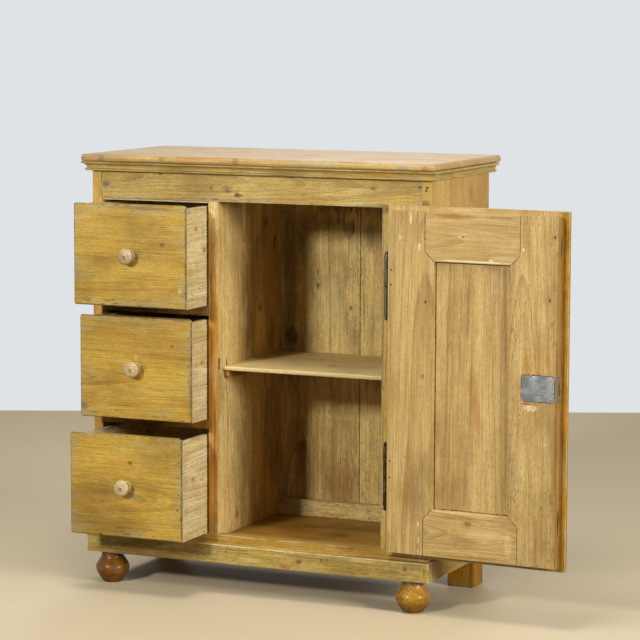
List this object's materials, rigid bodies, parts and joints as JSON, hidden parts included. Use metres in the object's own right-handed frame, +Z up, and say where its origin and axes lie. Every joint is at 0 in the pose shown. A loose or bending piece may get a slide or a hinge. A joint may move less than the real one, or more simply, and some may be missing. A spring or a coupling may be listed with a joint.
{
  "type": "pine cabinet",
  "caption": "Small free-standing pine cabinet with a bank of drawers beside a shelved cupboard, a panelled door on barrel hinges, a moulded top and turned front feet.",
  "frame": {"origin": "on the floor, under the middle of the bounding box of the cabinet as it stands in the picture, with the door open and the drawers pulled out", "axes": "+X to the right seen from the front, +Y from the front to the back, +Z up"},
  "size_m": [1.0472, 0.4734, 0.88],
  "materials": {
    "pine_top": "worn, waxed",
    "pine_waxed": "waxed, golden",
    "pine_knob": "turned, waxed",
    "foot_varnish": "turned, glossy varnish",
    "hinge_steel": "dull steel",
    "hinge_iron": "brown, rubbed",
    "lock_zinc": "dull grey",
    "lock_bolt_steel": "worn",
    "pine_inside": "bare, aged",
    "pine_door": "waxed, pale",
    "pine_pale": "bare, pale",
    "pine_case": "waxed"
  },
  "bodies": {
    "carcass": {"top_board": "pine_top", "moulding_front": "pine_waxed", "moulding_left": "pine_waxed", "moulding_right": "pine_waxed", "side_left": "pine_case", "side_right": "pine_case", "partition": "pine_case", "front_top_rail": "pine_waxed", "drawer_guide_strip": "pine_waxed", "right_stile": "pine_waxed", "bottom_rail": "pine_waxed", "floor_board": "pine_inside", "divider_upper": "pine_inside", "divider_lower": "pine_inside", "runner_left": "pine_inside", "runner_right": "pine_inside", "back_board_left": "pine_inside", "back_board_middle": "pine_inside", "back_board_right": "pine_inside", "back_rail": "pine_inside", "shelf": "pine_case", "shelf_cleat_left": "pine_case", "shelf_cleat_right": "pine_case", "base_front": "pine_waxed", "base_left": "pine_case", "base_right": "pine_case", "foot_front_left": "foot_varnish", "foot_front_right": "foot_varnish", "foot_rear_left": "foot_varnish", "foot_rear_right": "foot_varnish", "hinge_upper_frame_half": "hinge_steel", "hinge_lower_frame_half": "hinge_iron"},
    "door": {"door_hinge_stile": "pine_door", "door_lock_stile": "pine_door", "door_top_rail": "pine_door", "door_bottom_rail": "pine_door", "door_panel": "pine_door", "door_edge_strip": "pine_door", "hinge_upper_door_half": "hinge_steel", "hinge_lower_door_half": "hinge_iron", "lock_case": "lock_zinc"},
    "bolt": {"lock_bolt": "lock_bolt_steel"},
    "drawer_1": {"drawer_1_front": "pine_waxed", "drawer_1_left_side": "pine_pale", "drawer_1_right_side": "pine_pale", "drawer_1_back": "pine_pale", "drawer_1_floor": "pine_pale", "drawer_1_knob": "pine_knob"},
    "drawer_2": {"drawer_2_front": "pine_waxed", "drawer_2_left_side": "pine_pale", "drawer_2_right_side": "pine_pale", "drawer_2_back": "pine_pale", "drawer_2_floor": "pine_pale", "drawer_2_knob": "pine_knob"},
    "drawer_3": {"drawer_3_front": "pine_waxed", "drawer_3_left_side": "pine_pale", "drawer_3_right_side": "pine_pale", "drawer_3_back": "pine_pale", "drawer_3_floor": "pine_pale", "drawer_3_knob": "pine_knob"}
  },
  "joints": [
    {"name": "door_hinge", "type": "hinge", "parent": "carcass", "child": "door", "pos_m": [0.14393, -0.10735, 0.4545], "axis": [0, 0, 1], "range_deg": [-177.5, 2.5]},
    {"name": "lock_bolt_slide", "type": "slide", "parent": "door", "child": "bolt", "axis": [0.999, -0.0436, 0], "range_m": [0, 0.01]},
    {"name": "drawer_1_slide", "type": "slide", "parent": "carcass", "child": "drawer_1", "axis": [0, -1, 0], "range_m": [-0.0835, 0.1465]},
    {"name": "drawer_2_slide", "type": "slide", "parent": "carcass", "child": "drawer_2", "axis": [0, -1, 0], "range_m": [-0.0603, 0.1697]},
    {"name": "drawer_3_slide", "type": "slide", "parent": "carcass", "child": "drawer_3", "axis": [0, -1, 0], "range_m": [-0.1038, 0.1262]}
  ]
}
